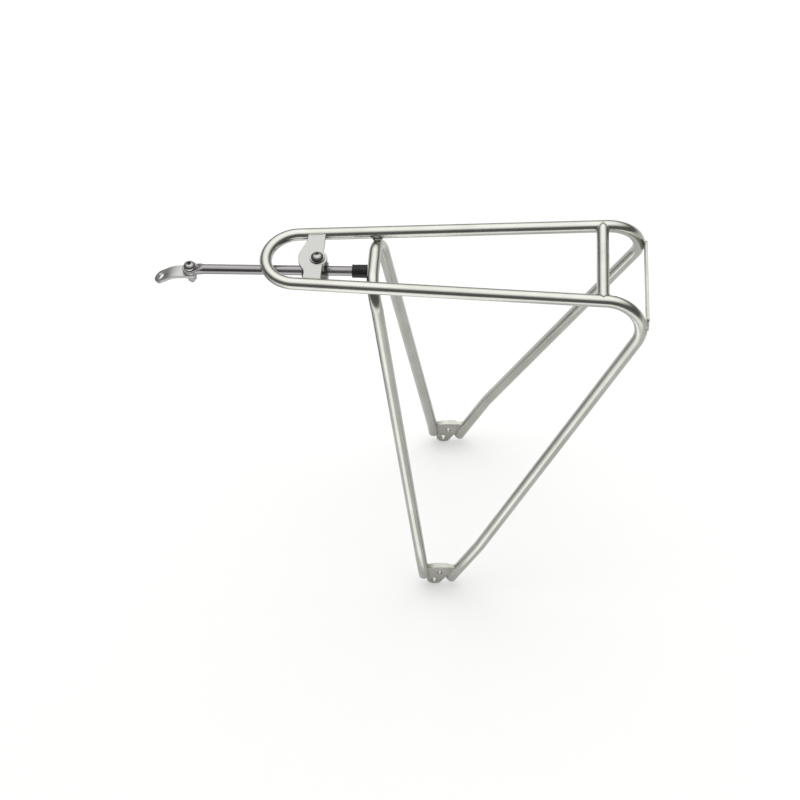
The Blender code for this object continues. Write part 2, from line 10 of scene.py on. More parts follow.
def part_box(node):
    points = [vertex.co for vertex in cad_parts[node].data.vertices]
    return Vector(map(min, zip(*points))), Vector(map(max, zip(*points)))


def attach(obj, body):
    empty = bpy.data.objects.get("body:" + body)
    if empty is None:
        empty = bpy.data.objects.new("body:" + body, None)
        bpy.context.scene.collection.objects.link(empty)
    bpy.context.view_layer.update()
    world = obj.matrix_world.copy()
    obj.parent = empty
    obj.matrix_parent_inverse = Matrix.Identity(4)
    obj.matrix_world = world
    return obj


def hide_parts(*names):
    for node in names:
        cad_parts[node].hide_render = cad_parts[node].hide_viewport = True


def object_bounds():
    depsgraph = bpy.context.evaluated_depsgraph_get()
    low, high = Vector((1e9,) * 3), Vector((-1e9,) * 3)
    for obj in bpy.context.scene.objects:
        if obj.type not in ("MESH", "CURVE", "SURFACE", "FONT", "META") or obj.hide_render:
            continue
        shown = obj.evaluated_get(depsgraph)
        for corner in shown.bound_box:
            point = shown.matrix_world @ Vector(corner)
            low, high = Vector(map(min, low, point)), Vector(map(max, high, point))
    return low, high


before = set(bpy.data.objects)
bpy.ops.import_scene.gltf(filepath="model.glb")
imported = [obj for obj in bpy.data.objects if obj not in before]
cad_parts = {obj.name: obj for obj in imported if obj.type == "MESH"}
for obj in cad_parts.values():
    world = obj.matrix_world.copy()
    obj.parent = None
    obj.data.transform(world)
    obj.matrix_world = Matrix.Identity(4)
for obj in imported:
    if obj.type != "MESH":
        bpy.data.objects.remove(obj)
cad_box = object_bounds()

MM = 0.001

# Tubing
TUBE_RADIUS = 5.0 * MM
TUBE_WALL = 1.0 * MM
TUBE_LIP = 0.25 * MM  # rounding of a cut end
LIP_BORE_SHARE = 0.6  # how far the bore follows the rounding
TUBE_STEP = 12 * MM  # longest straight step along a tube
ROD_RADIUS = 4.0 * MM
CLEARANCE = 0.3 * MM  # round a shank or the rod in its hole

# Deck
DECK_Z = 350.6 * MM
HOOP_X = -99.2 * MM
HOOP_RADIUS = 26.2 * MM
CROSS_TUBE_X = 142.8 * MM
RAIL_HALF_WIDTH = 39.3 * MM
REAR_CORNER_X = 190.1 * MM
REAR_BEND_RADIUS = 28.0 * MM

# Legs
FOOT_Y = 81.5 * MM
REAR_KINK = Vector((42.9, 81.5, 58.1)) * MM
REAR_LEG_END = Vector((15.3, 81.5, 2.5)) * MM
FRONT_KINK = Vector((-9.9, 81.5, 16.6)) * MM
FRONT_LEG_END = Vector((-9.2, 81.5, 5.8)) * MM
KINK_RADIUS = 60.0 * MM
ARCH_CROWN_Z = 345.6 * MM
ARCH_CORNER_Y = 29.6 * MM
ARCH_BEND_RADIUS = 22.0 * MM
ARCH_PLANE_X = -36.6 * MM
ARCH_BOW = 2.4 * MM
ARCH_BOW_HEIGHT = 25.5 * MM

# Feet
FOOT_THICKNESS = 3.6 * MM
RIM_THICKNESS = 5.0 * MM
RIM_HEIGHT = 2.0 * MM
FOOT_ARC_CENTRE = (7.8 * MM, -12.0 * MM)
FOOT_ARC_RADIUS = 35.0 * MM
FOOT_ARC_ENDS = (66.0, 118.7)  # degrees, inside the rear and the front leg
RIM_REAR_END = 80.6  # degrees: the rim stops short of the rear leg
EYELET_OUTER_RADIUS = 6.7 * MM
EYELET_HOLE_RADIUS = 3.2 * MM
UPPER_HOLE = (5.4 * MM, 12.4 * MM)
UPPER_HOLE_RADIUS = 2.5 * MM
FOOT_HEEL = (-4.4 * MM, 2.4 * MM)  # from the rear leg's end
FOOT_UNDER_LEG = (1.0 * MM, 2.4 * MM)
FOOT_FRONT_RISE = 3.0 * MM  # above the front leg's end

# Light plate
LIGHT_CORNER_RADIUS = 4.0 * MM
LIGHT_HOLE_SPACING = 50.0 * MM
LIGHT_HOLE_RADIUS = 2.75 * MM

# Stay clamp
ROD_Z = 336.6 * MM
CLAMP_PLATE_TOP = DECK_Z + 3.5 * MM
CLAMP_PLATE_THICKNESS = 3.0 * MM
CLAMP_FRONT_X = -93.2 * MM
CLAMP_REAR_X = -79.2 * MM
CLAMP_HALF_WIDTH = 24.5 * MM
CLAMP_NOSE = (-81.0 * MM, -0.8 * MM)
CLAMP_NOSE_RADIUS = 18.0 * MM
CLAMP_NOSE_ARC = (153.0, 213.0)  # degrees
CLAMP_SHOULDERS = (17.0 * MM, -15.0 * MM)
CLAMP_BOLT_X = -83.6 * MM
CLAMP_BOLT_Y = -2.0 * MM
CLAMP_LOBE_RADIUS = 8.0 * MM
BARREL_FRONT_X = -97.2 * MM
BARREL_REAR_X = -76.7 * MM
BARREL_RADIUS = 7.0 * MM
BARREL_NECK_WIDTH = 10.0 * MM
BARREL_NECK_SETBACK = 4.0 * MM
BARREL_NECK_SHORTENING = 6.0 * MM
BARREL_EDGE = 0.4 * MM
CLAMP_HOLE_RADIUS = 3.3 * MM
CLAMP_THREAD_RADIUS = 3.0 * MM
CLAMP_WASHER_HOLE = 3.2 * MM
CLAMP_HEAD_HEIGHT = 3.3 * MM

# Stay
EYE_X = -188.9 * MM
EYE_RADIUS = 6.25 * MM
EYE_THICKNESS = 4.2 * MM
EYE_Z = 336.6 * MM
EYE_NECK_SHARE = 0.72  # of the eye's radius, where the stem meets it
EYE_SQUARENESS = 7.0
ROD_ROUND_END_X = -177.6 * MM
ROD_REAR_X = -46.7 * MM
ROD_END_ROUNDING = ((0.0, 0.6), (0.25, 0.18), (0.6, 0.0))  # mm back from the end, mm off the radius
CAP_RADIUS = 5.4 * MM
CAP_LIP_RADIUS = 0.35 * MM
CAP_GROOVE_DEPTH = 0.25 * MM
CAP_GROOVE_PLACES = (1.7 * MM, 2.0 * MM, 2.3 * MM, 2.6 * MM)  # from the mouth
CAP_MOUTH = (0.1 * MM, 0.3 * MM)  # depth and width of the mouth's bevel
CAP_TAPER = 0.05 * MM
CAP_CLEARANCE = 0.05 * MM
CAP_END_RADIUS = 1.1 * MM
CAP_END_THICKNESS = 2.4 * MM
PIVOT_THREAD_RADIUS = 2.0 * MM
PIVOT_HEAD_HEIGHT = 4.6 * MM
PIVOT_WASHER_HOLE = 2.2 * MM
NUT_CLEARANCE = 0.05 * MM
NUT_EDGE = 0.35 * MM
NUT_ACROSS_FLATS = 7.0 * MM
STRAP_WIDTH = 11.8 * MM
STRAP_THICKNESS = 2.8 * MM
STRAP_FLAT_LENGTH = 8.0 * MM
STRAP_BEND_RADIUS = 22.0 * MM
STRAP_BEND_ANGLE = math.radians(29.0)
STRAP_TIP_LENGTH = 7.4 * MM
STRAP_HOLE_RADIUS = 3.4 * MM
STRAP_EDGE = 0.5 * MM

# Bolts and washers
BOLT_EDGE = 0.3 * MM
DOME_STEPS = 14
WASHER_EDGE = 0.2 * MM
THREAD_PITCH = 0.8 * MM
THREAD_TIP_SHARE = 0.8  # of the shank's radius
THREAD_ROOT_SHARE = 0.88
SOCKET_SHARE = 0.42  # of the head's radius
SOCKET_LENGTH = 10.0 * MM  # long enough to leave the head
SOCKET_EDGE = 0.12 * MM
DOME_HEIGHT = 2.7 * MM

# Welds
CROSS_TUBE_BEAD = 0.7 * MM
ARCH_BEAD = 0.9 * MM
FOOT_BEAD = 0.8 * MM
LIGHT_BEAD = 0.6 * MM
CLAMP_PLATE_BEAD = 0.7 * MM
BEAD_SINK = 0.3 * MM  # how deep a bead's middle lies in its joint
LIGHT_BEAD_SINK = 0.1 * MM
CLAMP_WELD_MARGIN = 0.04  # of the plate's depth, at each end
BEAD_SIDES = 12
BEAD_STEPS = 12
RIPPLE_PITCH = 1.5 * MM
RIPPLE_DEPTH = 0.10  # of the bead's radius
ARCH_WELD_SIZE = (3.2 * MM, 2.2 * MM)  # along the rail, across it
ARCH_WELD_STEPS = 36
REAR_FOOT_WELD = (3.0, 19.0)  # mm along the leg from its end
FRONT_FOOT_WELD = (1.0, 13.0)
LIGHT_WELD_OFFSET = 2.2 * MM  # to either side of the bend

# Stage
FLOOR_GLOW = 0.42
CARD_LIFT = 1.5 * MM
CARD_GLOW = 2.1
FOOT_CARD_GLOW = 2.2
DARK_CARD_GLOW = 0.22
FLOOR_SIZE = 6.0
SKY_GLOW = 2.3
SKY_EDGE = 0.07
LAMP_PLACE = (0.1, 0.5, 2.2)
LAMP_SIZE = 1.8
LAMP_POWER = 34.0
LAMP_AIM = Vector((0.0, 0.0, 0.2))
SKY_AXIS = Vector((0.0, 0.34, 0.94))
SKY_STOPS = (0.46, 0.90)
WIDE_CARD = ((-1.9, -0.62), (-1.9, -2.2), (1.4, -2.2), (1.4, -0.62))
FOOT_CARD = ((0.02, -0.12), (-0.05, -0.13), (-0.62, -0.62), (0.03, -0.62))
DARK_CARD = ((-0.24, 0.06), (-0.24, -0.08), (-1.6, -0.15), (-1.6, 0.40))
WALL_RADIUS = 5.5
WALL_HEIGHT = 8.0
WALL_GLOW = 0.97

# Camera
CAMERA_AZIMUTH = math.radians(6.414)
CAMERA_ELEVATION = math.radians(53.302)
CAMERA_ROLL = math.radians(-4.008)
CAMERA_DISTANCE = 1.6431
CAMERA_AIM = Vector((-0.0110, 0.0723, 0.0499))
CAMERA_SENSOR = 36.0
CAMERA_LENS = 76.97
CAMERA_SHIFT = (-0.0369, 0.0161)

TUBE_SIDES = 48
FINE_SIDES = 64


# ---------------------------------------------------------------- materials


class Look:
    """A procedural material under construction."""

    def __init__(self, name, colour, roughness, metallic):
        self.material = bpy.data.materials.new(name)
        self.material.use_nodes = True
        self.nodes = self.material.node_tree.nodes
        self.links = self.material.node_tree.links
        self.shader = self.nodes["Principled BSDF"]
        self.shader.inputs["Metallic"].default_value = metallic
        self.shader.inputs["Roughness"].default_value = roughness
        self.shader.inputs["Base Color"].default_value = (*colour, 1.0)

    def coordinates(self, scale, uv=False):
        source = self.nodes.new("ShaderNodeTexCoord")
        mapping = self.nodes.new("ShaderNodeMapping")
        mapping.inputs["Scale"].default_value = scale
        self.links.new(source.outputs["UV" if uv else "Object"], mapping.inputs["Vector"])
        return mapping.outputs["Vector"]

    def noise(self, vector, scale, detail=3.0, roughness=0.5):
        texture = self.nodes.new("ShaderNodeTexNoise")
        texture.inputs["Scale"].default_value = scale
        texture.inputs["Detail"].default_value = detail
        texture.inputs["Roughness"].default_value = roughness
        self.links.new(vector, texture.inputs["Vector"])
        return texture.outputs["Fac"]

    def vary_roughness(self, value, low, high):
        spread = self.nodes.new("ShaderNodeMapRange")
        spread.inputs["From Min"].default_value = 0.3
        spread.inputs["From Max"].default_value = 0.7
        spread.inputs["To Min"].default_value = low
        spread.inputs["To Max"].default_value = high
        self.links.new(value, spread.inputs["Value"])
        self.links.new(spread.outputs["Result"], self.shader.inputs["Roughness"])

    def vary_colour(self, value, first, second):
        ramp = self.nodes.new("ShaderNodeValToRGB")
        ramp.color_ramp.elements[0].position = 0.32
        ramp.color_ramp.elements[0].color = (*first, 1.0)
        ramp.color_ramp.elements[1].position = 0.68
        ramp.color_ramp.elements[1].color = (*second, 1.0)
        self.links.new(value, ramp.inputs["Fac"])
        self.links.new(ramp.outputs["Color"], self.shader.inputs["Base Color"])

    def bump(self, value, strength, distance):
        relief = self.nodes.new("ShaderNodeBump")
        relief.inputs["Strength"].default_value = strength
        relief.inputs["Distance"].default_value = distance
        self.links.new(value, relief.inputs["Height"])
        self.links.new(relief.outputs["Normal"], self.shader.inputs["Normal"])


def brushed_tube_look():
    """Satin steel, polished along the tube: long fine streaks and faint handling marks."""
    look = Look("brushed_tube_fine", (0.38, 0.38, 0.352), 0.24, 1.0)
    streaks = look.noise(look.coordinates((60.0, 2600.0, 1.0), uv=True), 1.0, 4.0, 0.6)
    clouds = look.noise(look.coordinates((1.0, 1.0, 1.0)), 38.0, 3.0)
    look.vary_roughness(streaks, 0.19, 0.29)
    look.vary_colour(clouds, (0.36, 0.36, 0.33), (0.41, 0.41, 0.38))
    look.bump(streaks, 0.10, 0.02 * MM)
    return look.material


def weld_look():
    """The ripple of a fused bead, a little rougher and with a trace of straw tint."""
    look = Look("weld_bead", (0.36, 0.355, 0.32), 0.34, 1.0)
    mottle = look.noise(look.coordinates((1.0, 1.0, 1.0)), 420.0, 3.0)
    look.vary_roughness(mottle, 0.30, 0.46)
    look.vary_colour(mottle, (0.31, 0.30, 0.265), (0.42, 0.415, 0.38))
    look.bump(mottle, 0.25, 0.05 * MM)
    return look.material


def plate_look():
    """Sheet steel with a fine satin grain, as bead blasting leaves it."""
    look = Look("satin_plate_fine", (0.34, 0.34, 0.328), 0.40, 1.0)
    grain = look.noise(look.coordinates((1.0, 1.0, 1.0)), 2600.0, 2.0)
    clouds = look.noise(look.coordinates((1.0, 1.0, 1.0)), 160.0, 4.0)
    look.vary_roughness(clouds, 0.33, 0.46)
    look.vary_colour(clouds, (0.32, 0.32, 0.308), (0.365, 0.365, 0.352))
    look.bump(grain, 0.18, 0.03 * MM)
    return look.material


def foot_look():
    """Thick plate between the welded legs, with mill grain along its height."""
    look = Look("foot_plate_fine", (0.35, 0.35, 0.32), 0.34, 1.0)
    grain = look.noise(look.coordinates((900.0, 900.0, 60.0)), 1.0, 3.0)
    clouds = look.noise(look.coordinates((1.0, 1.0, 1.0)), 110.0, 3.0)
    look.vary_roughness(grain, 0.30, 0.44)
    look.vary_colour(clouds, (0.33, 0.33, 0.295), (0.40, 0.40, 0.365))
    look.bump(grain, 0.12, 0.02 * MM)
    return look.material


def rod_look():
    """Drawn rod: cooler than the tubes, with lines along its length."""
    look = Look("drawn_rod", (0.21, 0.20, 0.207), 0.24, 1.0)
    lines = look.noise(look.coordinates((30.0, 2400.0, 2400.0)), 1.0, 3.0)
    look.vary_roughness(lines, 0.18, 0.30)
    look.vary_colour(lines, (0.19, 0.18, 0.187), (0.235, 0.225, 0.232))
    look.bump(lines, 0.10, 0.015 * MM)
    return look.material


def bright_look():
    """Machined stainless steel of the bolts, washers and nut."""
    look = Look("machined_steel", (0.30, 0.296, 0.288), 0.16, 1.0)
    marks = look.noise(look.coordinates((700.0, 700.0, 5200.0)), 1.0, 3.0)
    look.vary_roughness(marks, 0.12, 0.25)
    look.vary_colour(marks, (0.27, 0.266, 0.259), (0.33, 0.326, 0.318))
    look.bump(marks, 0.08, 0.015 * MM)
    return look.material


def painted_shade_barrel_look():
    """The clamp's sleeve, darker than the other steel: painted shade for its place in the shadow under the
    plate.
    """
    # painted shade: the base colour and its ramp sit far below the other steel's, standing in for the
    # shadow under the plate
    look = Look("barrel_steel_painted_shade", (0.075, 0.075, 0.072), 0.32, 1.0)
    marks = look.noise(look.coordinates((3000.0, 500.0, 500.0)), 1.0, 3.0)
    look.vary_roughness(marks, 0.26, 0.42)
    look.vary_colour(marks, (0.06, 0.06, 0.058), (0.09, 0.09, 0.087))
    look.bump(marks, 0.10, 0.015 * MM)
    return look.material


def rubber_look():
    """Moulded black rubber with a fine grain and a soft sheen."""
    look = Look("moulded_rubber", (0.012, 0.012, 0.013), 0.46, 0.0)
    look.shader.inputs["Specular IOR Level"].default_value = 0.16
    grain = look.noise(look.coordinates((1.0, 1.0, 1.0)), 3200.0, 3.0)
    dust = look.noise(look.coordinates((1.0, 1.0, 1.0)), 260.0, 4.0)
    look.vary_roughness(dust, 0.26, 0.38)
    look.vary_colour(dust, (0.006, 0.006, 0.007), (0.013, 0.013, 0.014))
    look.bump(grain, 0.30, 0.04 * MM)
    return look.material


# ---------------------------------------------------------------- mesh helpers


def add_piece(name, mesh, look, body, node=None):
    """Link a finished mesh, give it its material, let it ride, and let it stand for its CAD node."""
    piece = bpy.data.objects.new(name, mesh)
    bpy.context.scene.collection.objects.link(piece)
    mesh.materials.clear()
    mesh.materials.append(look)
    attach(piece, body)
    if node is not None:
        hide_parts(node)
    return piece


def mesh_from(bm, name, sharp_angle=35):
    bmesh.ops.recalc_face_normals(bm, faces=bm.faces)
    mesh = bpy.data.meshes.new(name)
    bm.to_mesh(mesh)
    bm.free()
    mesh.shade_smooth()
    mesh.set_sharp_from_angle(angle=math.radians(sharp_angle))
    return mesh


def mirrored(point):
    return Vector((point.x, -point.y, point.z))


def arc(centre, radius, start, end, steps):
    angles = (math.radians(start + (end - start) * i / steps) for i in range(steps + 1))
    return [(centre[0] + radius * math.cos(a), centre[1] + radius * math.sin(a)) for a in angles]


def disc(centre, radius, sides=FINE_SIDES):
    return arc(centre, radius, 0, 360 - 360 / sides, sides - 1)


def fillet(before, corner, after, radius, steps):
    """Points of the arc that rounds a corner, from tangent point to tangent point."""
    back = (before - corner).normalized()
    ahead = (after - corner).normalized()
    half_angle = back.angle(ahead) / 2
    reach = radius / math.tan(half_angle)
    centre = corner + (back + ahead).normalized() * (radius / math.sin(half_angle))
    spoke = (corner + back * reach - centre).normalized()
    turn = math.pi - 2 * half_angle
    angles = (turn * i / steps for i in range(steps + 1))
    return [centre + (spoke * math.cos(a) - back * math.sin(a)) * radius for a in angles]


def ring_frames(points, closed=False):
    """Two directions across a path at each point, carried along it without twisting."""
    count = len(points)
    tangents = []
    for i, point in enumerate(points):
        ahead = points[(i + 1) % count] if closed or i + 1 < count else point
        behind = points[i - 1] if closed or i > 0 else point
        tangents.append((ahead - behind).normalized())
    across = tangents[0].orthogonal().normalized()
    frames = []
    for i, tangent in enumerate(tangents):
        if i > 0:
            across = tangents[i - 1].rotation_difference(tangent) @ across
        across = (across - tangent * across.dot(tangent)).normalized()
        frames.append((tangent, across, tangent.cross(across)))
    return frames


def join_rings(bm, rings, lengths, closed):
    """Quads between neighbouring rings, with UVs in metres: along the path, then around it."""
    uv = bm.loops.layers.uv.new("along")
    sides = len(rings[0])
    pairs = list(zip(range(len(rings)), range(1, len(rings))))
    if closed:
        pairs.append((len(rings) - 1, 0))
    girth = math.tau * TUBE_RADIUS
    for first, second in pairs:
        far = lengths[second] if second > first else lengths[first] + MM
        for i in range(sides):
            j = (i + 1) % sides
            face = bm.faces.new((rings[first][i], rings[first][j], rings[second][j], rings[second][i]))
            around = (i / sides * girth, (i + 1) / sides * girth)
            near = lengths[first]
            places = ((near, around[0]), (near, around[1]), (far, around[1]), (far, around[0]))
            for loop, place in zip(face.loops, places):
                loop[uv].uv = place


def ring(bm, centre, across, up, radius, sides):
    angles = (math.tau * i / sides for i in range(sides))
    return [bm.verts.new(centre + (across * math.cos(a) + up * math.sin(a)) * radius) for a in angles]


def hollow_tube_mesh(name, points):
    """A tube with a real bore and gently rounded cut ends."""
    inner = TUBE_RADIUS - TUBE_WALL
    frames = ring_frames(points)
    lip_steps = ((-TUBE_LIP, 0.0), (-0.3 * TUBE_LIP, 0.3 * TUBE_LIP), (0.0, TUBE_LIP))
    sections = []
    lengths = []
    travelled = 0.0
    for i, (point, (tangent, across, up)) in enumerate(zip(points, frames)):
        travelled += (point - points[i - 1]).length if i else 0.0
        if 0 < i < len(points) - 1:
            sections.append((point, across, up, TUBE_RADIUS))
            lengths.append(travelled)
            continue
        outward = 1 if i else -1
        lips = lip_steps if i else reversed(lip_steps)
        for shift, cut_back in lips:
            sections.append((point + tangent * shift * outward, across, up, TUBE_RADIUS - cut_back))
            lengths.append(travelled + shift * outward)
    outer_count = len(sections)
    for i in reversed(range(outer_count)):
        point, across, up, radius = sections[i]
        sections.append((point, across, up, inner + (TUBE_RADIUS - radius) * LIP_BORE_SHARE))
        lengths.append(lengths[i])
    for i in (outer_count, len(sections) - 1):
        point, across, up, radius = sections[i]
        sections[i] = (point, across, up, inner + TUBE_LIP)
    bm = bmesh.new()
    rings = [ring(bm, point, across, up, radius, TUBE_SIDES) for point, across, up, radius in sections]
    join_rings(bm, rings, lengths, closed=True)
    return mesh_from(bm, name, 60)


def resampled(points, spacing, closed):
    """The same path with points at an even spacing."""
    knots = points + [points[0]] if closed else points
    lengths = [0.0]
    for first, second in zip(knots, knots[1:]):
        lengths.append(lengths[-1] + (second - first).length)
    count = max(8, round(lengths[-1] / spacing))
    found = []
    span = 0
    for i in range(count if closed else count + 1):
        target = lengths[-1] * i / count
        while span < len(knots) - 2 and lengths[span + 1] < target:
            span += 1
        share = (target - lengths[span]) / max(lengths[span + 1] - lengths[span], 1e-9)
        found.append(knots[span].lerp(knots[span + 1], share))
    return found


def add_bead(name, points, look, body, radius, closed=False):
    """A weld bead: a small swell along a seam, rippled as the puddle froze, tapering at open ends."""
    spacing = RIPPLE_PITCH / 5
    path = resampled(points, spacing, closed)
    bm = bmesh.new()
    rings = []
    lengths = []
    for i, (point, (_, across, up)) in enumerate(zip(path, ring_frames(path, closed))):
        travelled = i * spacing
        ripple = 1 + RIPPLE_DEPTH * math.sin(math.tau * travelled / RIPPLE_PITCH)
        ends = 1.0 if closed else min(1.0, 0.25 + min(i, len(path) - 1 - i) / 5)
        rings.append(ring(bm, point, across, up, radius * ripple * ends, BEAD_SIDES))
        lengths.append(travelled)
    if closed:
        join_rings(bm, best_seam(rings), lengths, closed=True)
    else:
        join_rings(bm, rings, lengths, closed=False)
        bm.faces.new(rings[0])
        bm.faces.new(rings[-1])
    return add_piece(name, mesh_from(bm, name, 80), look, body)


def best_seam(rings):
    """Turn a closed bead's last rings' numbering so that it meets the first without a twist."""
    first, last = rings[0], rings[-1]
    sides = len(first)

    def gap(shift):
        return sum((first[i].co - last[(i + shift) % sides].co).length for i in range(sides))

    shift = min(range(sides), key=gap)
    if shift > sides / 2:
        shift -= sides
    turned = []
    for index, items in enumerate(rings):
        share = round(shift * index / (len(rings) - 1))
        turned.append([items[(i + share) % sides] for i in range(sides)])
    return turned


def extruded_mesh(name, outline, start, depth, lift):
    """A flat outline given depth. lift turns (u, v, along) into a point of the rack."""
    bm = bmesh.new()
    face = bm.faces.new([bm.verts.new(lift(u, v, start)) for u, v in outline])
    pushed = bmesh.ops.extrude_face_region(bm, geom=[face])
    shift = Vector(lift(0, 0, start + depth)) - Vector(lift(0, 0, start))
    moved = [item for item in pushed["geom"] if isinstance(item, bmesh.types.BMVert)]
    bmesh.ops.translate(bm, verts=moved, vec=shift)
    return mesh_from(bm, name)


def plan_view(x, y, z):
    return (x, y, z)


def side_view(x, z, y):
    return (x, y, z)


def rear_view(y, z, x):
    return (x, y, z)


def turned_mesh(name, profile, place, axis, sides=FINE_SIDES):
    """A closed (distance along the axis, radius) profile spun about the axis through a place."""
    along = Vector(axis).normalized()
    across = along.orthogonal().normalized()
    up = along.cross(across)
    bm = bmesh.new()
    rings = []
    for distance, radius in profile:
        centre = place + along * distance
        if radius < 1e-7:
            rings.append([bm.verts.new(centre)] * sides)
        else:
            rings.append(ring(bm, centre, across, up, radius, sides))
    for first, second in zip(rings, rings[1:] + rings[:1]):
        for i in range(sides):
            j = (i + 1) % sides
            corners = list(dict.fromkeys((first[i], first[j], second[j], second[i])))
            if len(corners) > 2:
                bm.faces.new(corners)
    return mesh_from(bm, name)


def shaped_mesh(name, base, unions=(), cuts=(), edge=0.3 * MM):
    """A base mesh joined with others, cut by others, and with its sharp edges eased."""
    work = bpy.data.objects.new(name + "_work", base)
    helpers = [work]
    bpy.context.scene.collection.objects.link(work)
    for operation, tools in (("UNION", unions), ("DIFFERENCE", cuts)):
        for tool_mesh in tools:
            tool = bpy.data.objects.new(name + "_tool", tool_mesh)
            bpy.context.scene.collection.objects.link(tool)
            helpers.append(tool)
            step = work.modifiers.new("shape", "BOOLEAN")
            step.operation = operation
            step.object = tool
            step.solver = "EXACT"
    if edge:
        ease = work.modifiers.new("ease", "BEVEL")
        ease.width = edge
        ease.segments = 3
        ease.limit_method = "ANGLE"
        ease.angle_limit = math.radians(40)
        ease.use_clamp_overlap = True
        ease.harden_normals = True
    graph = bpy.context.evaluated_depsgraph_get()
    made = bpy.data.meshes.new_from_object(work.evaluated_get(graph))
    made.name = name
    for helper in helpers:
        bpy.data.objects.remove(helper, do_unlink=True)
    return made


def drill(centre, radius, start, depth, lift, sides=FINE_SIDES):
    return extruded_mesh("drill", disc(centre, radius, sides), start, depth, lift)


# ---------------------------------------------------------------- centrelines


def rail_taper():
    length = CROSS_TUBE_X - HOOP_X
    distance = math.hypot(length, RAIL_HALF_WIDTH)
    return math.atan2(RAIL_HALF_WIDTH, length) - math.asin(HOOP_RADIUS / distance)


def rail_half_width(x):
    return RAIL_HALF_WIDTH + math.tan(rail_taper()) * (x - CROSS_TUBE_X)


def rail_point(x, side=1):
    return Vector((x, side * rail_half_width(x), DECK_Z))


def main_tube_half():
    taper = math.degrees(rail_taper())
    hoop = arc((HOOP_X, 0.0), HOOP_RADIUS, 180, 90 + taper, 48)
    points = [Vector((x, y, DECK_Z)) for x, y in hoop]
    corner = rail_point(REAR_CORNER_X)
    points += fillet(points[-1], corner, REAR_KINK, REAR_BEND_RADIUS, 56)
    points += fillet(corner, REAR_KINK, REAR_LEG_END, KINK_RADIUS, 12)
    points.append(REAR_LEG_END)
    return points


def arch_x(z):
    top = Vector((ARCH_PLANE_X, ARCH_CORNER_Y, ARCH_CROWN_Z))
    slope = (FRONT_KINK.x - top.x) / (top.z - FRONT_KINK.z)
    above = max(0.0, z - (ARCH_CROWN_Z - ARCH_BOW_HEIGHT)) / ARCH_BOW_HEIGHT
    return top.x + slope * (top.z - z) - ARCH_BOW * above * above


def arch_half():
    middle = Vector((0.0, 0.0, ARCH_CROWN_Z))
    corner = Vector((0.0, ARCH_CORNER_Y, ARCH_CROWN_Z))
    foot = Vector((0.0, FRONT_KINK.y, FRONT_KINK.z))
    points = [middle] + fillet(middle, corner, foot, ARCH_BEND_RADIUS, 40)
    points = [Vector((arch_x(p.z), p.y, p.z)) for p in points]
    points += fillet(points[-1], FRONT_KINK, FRONT_LEG_END, KINK_RADIUS / 2, 8)
    points.append(FRONT_LEG_END)
    return points


def both_sides(half):
    return [mirrored(p) for p in reversed(half)] + half[1:]


# ---------------------------------------------------------------- welded frame


def add_tube(node, points, looks):
    path = [points[0]]
    for first, second in zip(points, points[1:]):
        steps = max(1, math.ceil((second - first).length / TUBE_STEP))
        path += [first.lerp(second, i / steps) for i in range(1, steps + 1)]
    mesh = hollow_tube_mesh(node + "_fine", path)
    add_piece(node + "_fine", mesh, looks["tube"], "frame", node)


def cope(x, z, side):
    """Where the cross tube's skin meets the rail's."""
    return side * (rail_half_width(x) - math.sqrt(max(0.0, TUBE_RADIUS**2 - (z - DECK_Z) ** 2)))


def add_cross_tube(looks):
    """A short tube whose ends follow the rails' round sides, with a bead around each."""
    bm = bmesh.new()
    edge = arc((CROSS_TUBE_X, DECK_Z), TUBE_RADIUS, 0, 360 - 360 / TUBE_SIDES, TUBE_SIDES - 1)
    rings = []
    lengths = []
    steps = 24
    for i in range(steps + 1):
        share = 2 * i / steps - 1
        side = math.copysign(1, share)
        rings.append([bm.verts.new((x, abs(share) * cope(x, z, side), z)) for x, z in edge])
        lengths.append(share * RAIL_HALF_WIDTH)
    join_rings(bm, rings, lengths, closed=False)
    bm.faces.new(rings[0])
    bm.faces.new(rings[-1])
    add_piece("cross_tube_fine", mesh_from(bm, "cross_tube_fine", 60), looks["tube"], "frame",
              "cross_tube")
    for side, word in ((-1, "left"), (1, "right")):
        loop = [Vector((x, cope(x, z, side) - side * BEAD_SINK, z)) for x, z in edge]
        add_bead(word + "_cross_tube_weld", loop, looks["weld"], "frame", CROSS_TUBE_BEAD, closed=True)


def add_arch_welds(looks):
    """The arch's shoulders lie against the rails from inside and below. A bead fills each side."""
    half = arch_half()
    for side, word in ((-1, "left"), (1, "right")):
        def gap(point):
            return (Vector((point.x, side * point.y, point.z)) - rail_point(point.x, side)).length

        nearest = min(half, key=gap)
        place = Vector((nearest.x, side * nearest.y, nearest.z))
        rail = rail_point(place.x, side)
        across = (rail - place).normalized()
        touch = place.lerp(rail, 0.5)
        along_rail = Vector((1, side * math.tan(rail_taper()), 0)).normalized()
        up = across.cross(along_rail).normalized()
        long, short = ARCH_WELD_SIZE
        loop = []
        for i in range(ARCH_WELD_STEPS):
            a = math.tau * i / ARCH_WELD_STEPS
            loop.append(touch + along_rail * long * math.cos(a) + up * short * math.sin(a))
        add_bead(word + "_arch_weld", loop, looks["weld"], "frame", ARCH_BEAD, closed=True)


def foot_outline():
    boss = arc((0.0, 0.0), EYELET_OUTER_RADIUS, -180, -38, 32)
    leg_corner = (REAR_LEG_END.x + FOOT_HEEL[0], REAR_LEG_END.z + FOOT_HEEL[1])
    under_leg = (REAR_LEG_END.x + FOOT_UNDER_LEG[0], REAR_LEG_END.z + FOOT_UNDER_LEG[1])
    top = arc(FOOT_ARC_CENTRE, FOOT_ARC_RADIUS, *FOOT_ARC_ENDS, 32)
    in_front_leg = (FRONT_LEG_END.x, FRONT_LEG_END.z + FOOT_FRONT_RISE)
    over_boss = (-EYELET_OUTER_RADIUS, FRONT_LEG_END.z)
    return boss + [leg_corner, under_leg] + top + [in_front_leg, over_boss]


